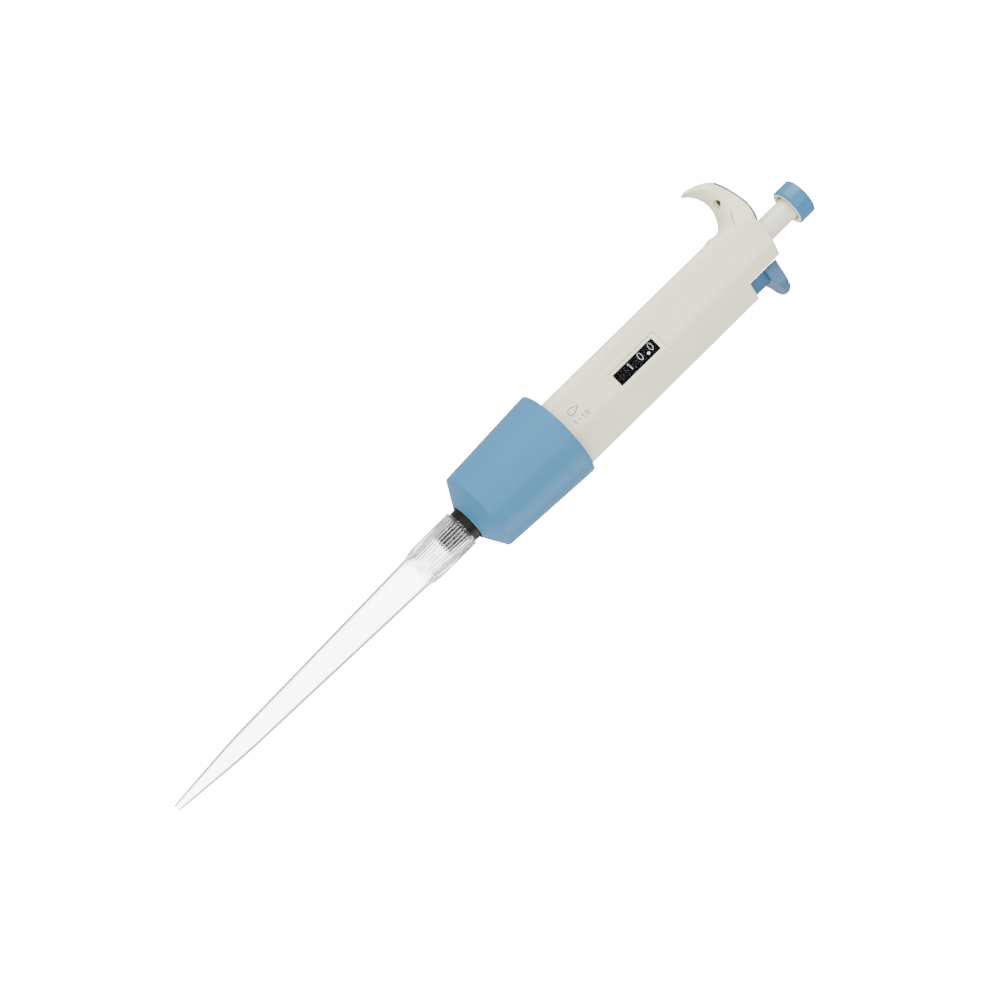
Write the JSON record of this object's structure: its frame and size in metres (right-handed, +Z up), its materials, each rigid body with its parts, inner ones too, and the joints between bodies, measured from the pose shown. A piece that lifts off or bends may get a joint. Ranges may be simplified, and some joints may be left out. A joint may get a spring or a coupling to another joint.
{
  "type": "adjustable volume pipette",
  "caption": "Adjustable air-displacement pipette with finger hook, volume window, thumb ejector, blue skirt and a fitted clear tip.",
  "frame": {"origin": "centre of the nozzle's end face, on the long axis, where a tip is pushed on", "axes": "+Z up the long axis towards the push button, -X towards the finger hook, -Y towards the volume window"},
  "size_m": [0.0564, 0.0394, 0.338],
  "materials": {
    "clear_tip": "clear injection-moulded polypropylene",
    "black_plastic": "satin black plastic",
    "seal_rubber": "black elastomer",
    "porous_white": "sintered porous plastic",
    "white_plastic": "satin white plastic",
    "steel": "turned stainless steel",
    "spring_steel": "drawn spring wire",
    "rod_plastic": "smooth off-white plastic",
    "button_blue": "satin blue plastic",
    "drum_black": "matt black drum with pale printed digits",
    "label_dark": "dark slate inlay",
    "handle_ivory": "fine-grained warm off-white plastic",
    "clear_lens": "clear moulded window",
    "sleeve_blue": "satin steel-blue plastic",
    "ejector_blue": "satin blue plastic"
  },
  "bodies": {
    "root": {"nozzle": "black_plastic", "nozzle_o_ring": "seal_rubber", "nozzle_filter": "porous_white", "cylinder": "black_plastic", "cylinder_head": "black_plastic", "blowout_spring": "spring_steel", "counter_drum_blank": "drum_black", "counter_frame": "black_plastic", "pinion_shaft": "steel", "rod_bush": "white_plastic", "hook_label_strip": "label_dark", "handle_front_shell": "handle_ivory", "handle_back_shell": "handle_ivory", "window_lens": "clear_lens", "handle_screws": "steel", "ejector_guide": "white_plastic", "ejector_spring": "spring_steel"},
    "dial": {"drive_sleeve": "black_plastic", "counter_drum_tenths": "drum_black"},
    "units_drum": {"counter_drum_units": "drum_black"},
    "tens_drum": {"counter_drum_tens": "drum_black"},
    "pinion_low": {"carry_pinion_low": "white_plastic"},
    "pinion_high": {"carry_pinion_high": "white_plastic"},
    "stop_nut": {"volume_nut": "white_plastic"},
    "blowout_stage": {"blowout_washer": "steel", "return_spring": "spring_steel"},
    "plunger": {"plunger_rod": "rod_plastic", "button_cap": "button_blue", "button_core": "white_plastic", "piston_rod": "steel", "piston": "white_plastic", "piston_seal": "seal_rubber", "spring_seat": "white_plastic"},
    "ejector": {"ejector_button": "ejector_blue", "ejector_bar": "steel", "ejector_sleeve": "sleeve_blue"},
    "fitted_tip": {"tip": "clear_tip"}
  },
  "joints": [
    {"name": "volume_dial", "type": "hinge", "parent": "root", "child": "dial", "pos_m": [0, 0, 0.1], "axis": [0, 0, 1], "range_deg": [-3240, 0]},
    {"name": "units_turn", "type": "hinge", "parent": "root", "child": "units_drum", "pos_m": [0, 0, 0.1043], "axis": [0, 0, 1], "range_deg": [-324.5, 0.5]},
    {"name": "tens_turn", "type": "hinge", "parent": "root", "child": "tens_drum", "pos_m": [0, 0, 0.0987], "axis": [0, 0, 1], "range_deg": [-32.9, 0.5]},
    {"name": "pinion_low_turn", "type": "hinge", "parent": "root", "child": "pinion_low", "pos_m": [0.0121, 0, 0.1015], "axis": [0, 0, 1], "range_deg": [-1, 143.9]},
    {"name": "pinion_high_turn", "type": "hinge", "parent": "root", "child": "pinion_high", "pos_m": [0.0121, 0, 0.1071], "axis": [0, 0, 1], "range_deg": [-1, 1430]},
    {"name": "nut_climb", "type": "slide", "parent": "root", "child": "stop_nut", "axis": [0, 0, 1], "range_m": [-0.0114, 0.00005]},
    {"name": "blowout", "type": "slide", "parent": "dial", "child": "blowout_stage", "axis": [0, 0, -1], "range_m": [0, 0.0014], "stiffness_N_per_m": 3200, "springref_m": -0.003, "deforming": ["blowout_spring"]},
    {"name": "plunger_press", "type": "slide", "parent": "blowout_stage", "child": "plunger", "axis": [0, 0, -1], "range_m": [0, 0.0126], "stiffness_N_per_m": 400, "springref_m": -0.008, "deforming": ["return_spring"]},
    {"name": "tip_eject", "type": "slide", "parent": "root", "child": "ejector", "axis": [0, 0, -1], "range_m": [0, 0.0075], "stiffness_N_per_m": 500, "springref_m": -0.005, "deforming": ["ejector_spring"]},
    {"name": "tip_push_off", "type": "slide", "parent": "root", "child": "fitted_tip", "axis": [0, 0, -1], "range_m": [-0.0001, 0.0046]}
  ],
  "couplings": [
    {"joint": "units_turn", "follows": "volume_dial", "ratio": 0.1},
    {"joint": "tens_turn", "follows": "volume_dial", "ratio": 0.01},
    {"joint": "pinion_high_turn", "follows": "volume_dial", "ratio": -0.44},
    {"joint": "pinion_low_turn", "follows": "volume_dial", "ratio": -0.044},
    {"joint": "nut_climb", "follows": "volume_dial", "m_per_rad": 0.00020054},
    {"joint": "tip_push_off", "follows": "tip_eject", "ratio": 0.6}
  ]
}
